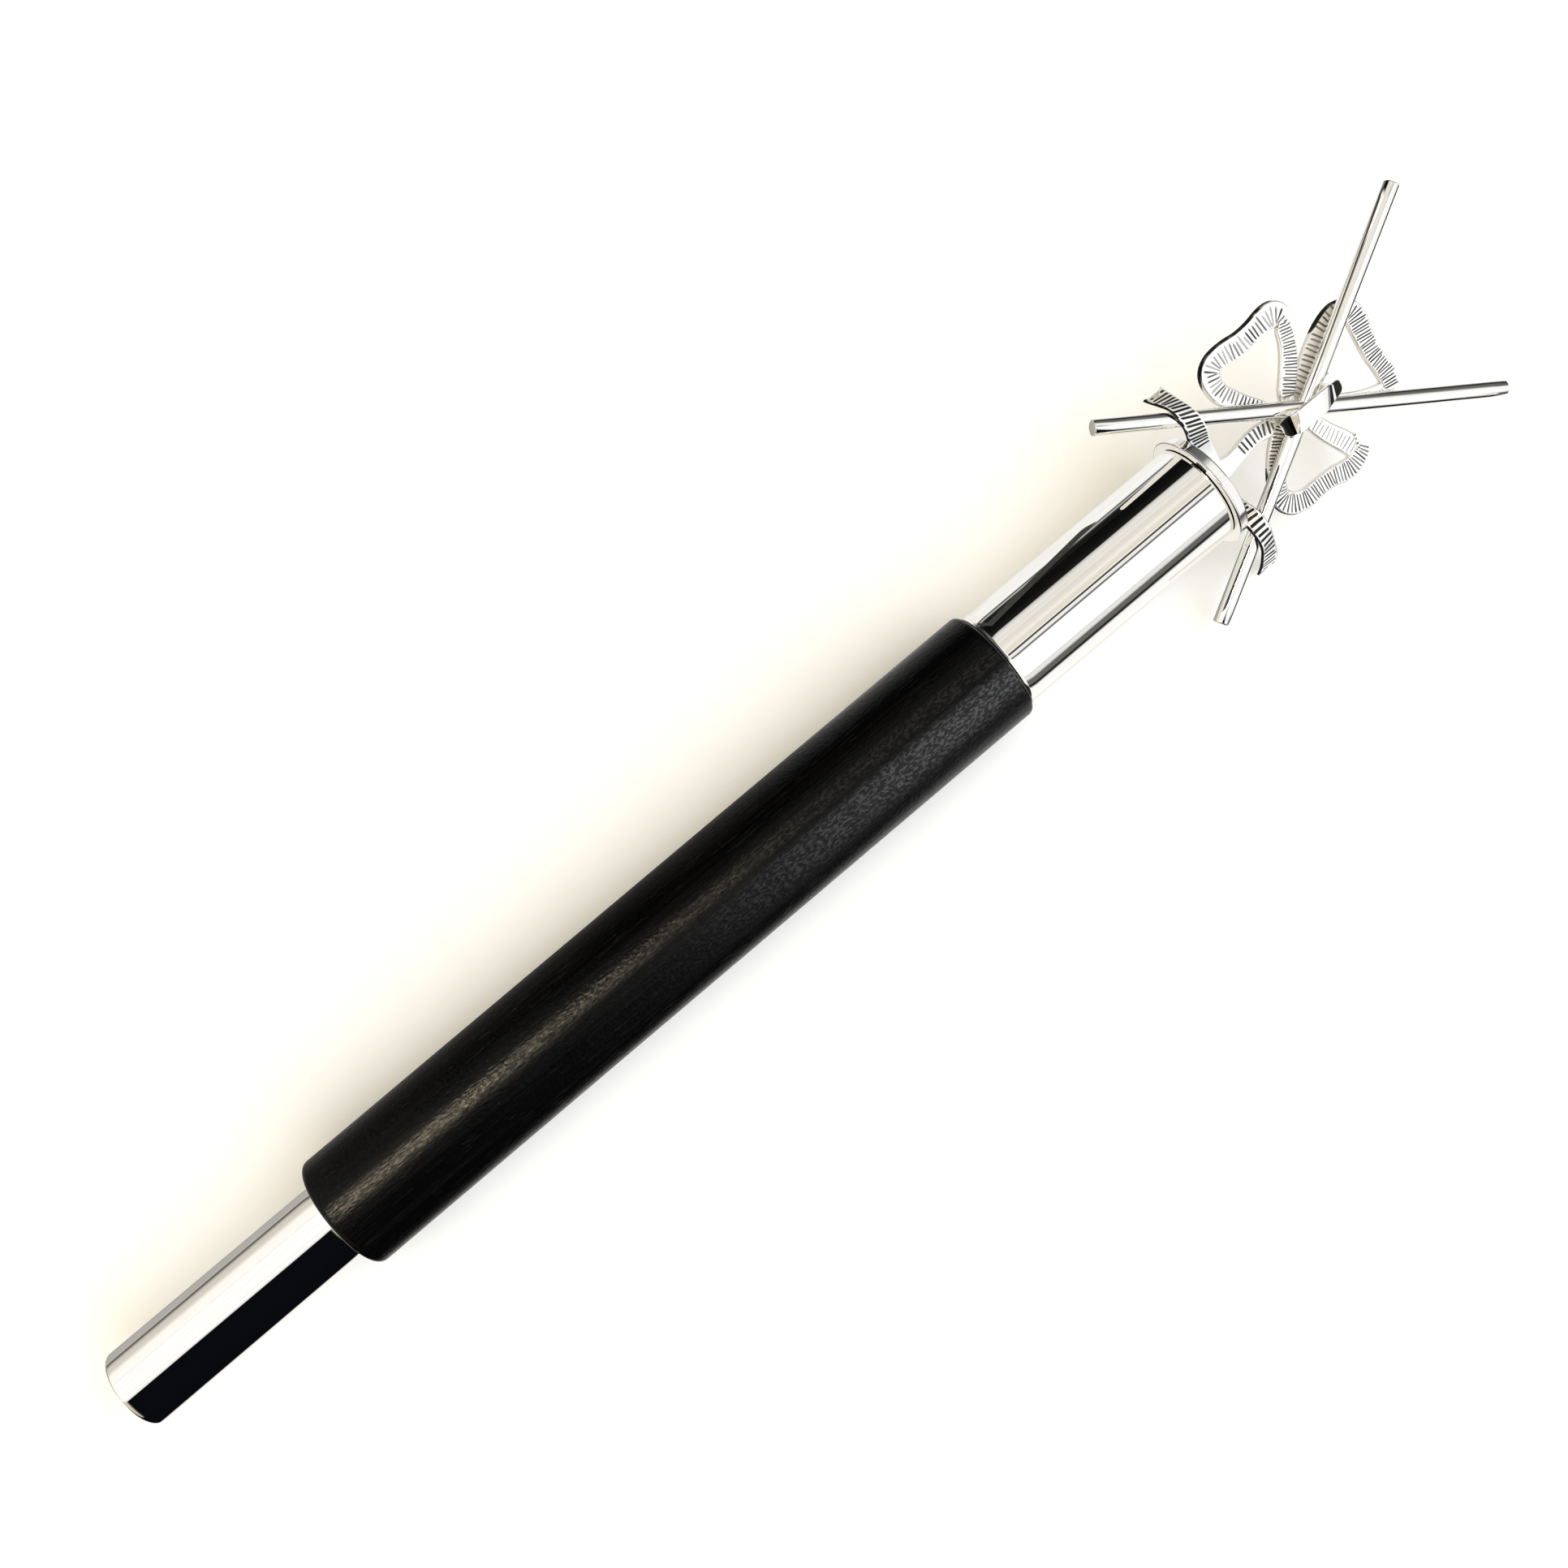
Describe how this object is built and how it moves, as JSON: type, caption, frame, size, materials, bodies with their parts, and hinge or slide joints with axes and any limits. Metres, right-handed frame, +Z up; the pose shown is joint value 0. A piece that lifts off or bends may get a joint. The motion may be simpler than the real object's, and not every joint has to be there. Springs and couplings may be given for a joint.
{
  "type": "ceremonial baton",
  "caption": "Ceremonial baton with an ebonised wooden grip, polished metal tubes and an emblem of crossed wands tied with an engraved ribbon bow.",
  "frame": {"origin": "middle of the baton's footprint, on the surface that it lies on", "axes": "+X along the staff from the butt to the head, +Y to the emblem's left, +Z up"},
  "size_m": [0.441, 0.0658, 0.0335],
  "materials": {
    "silver_plate": "silver-plated brass, mirror polished",
    "engraved_silver": "silver-plated casting, polished, with hand-cut hatching",
    "ebonised_wood": "turned hardwood, stained black and polished to a satin sheen"
  },
  "bodies": {
    "root": {"butt_tube": "silver_plate", "wood_grip": "ebonised_wood", "head_tube": "silver_plate", "head_cap": "silver_plate", "wand_left": "silver_plate", "wand_right": "silver_plate", "ribbon_bow": "engraved_silver"}
  },
  "joints": []
}
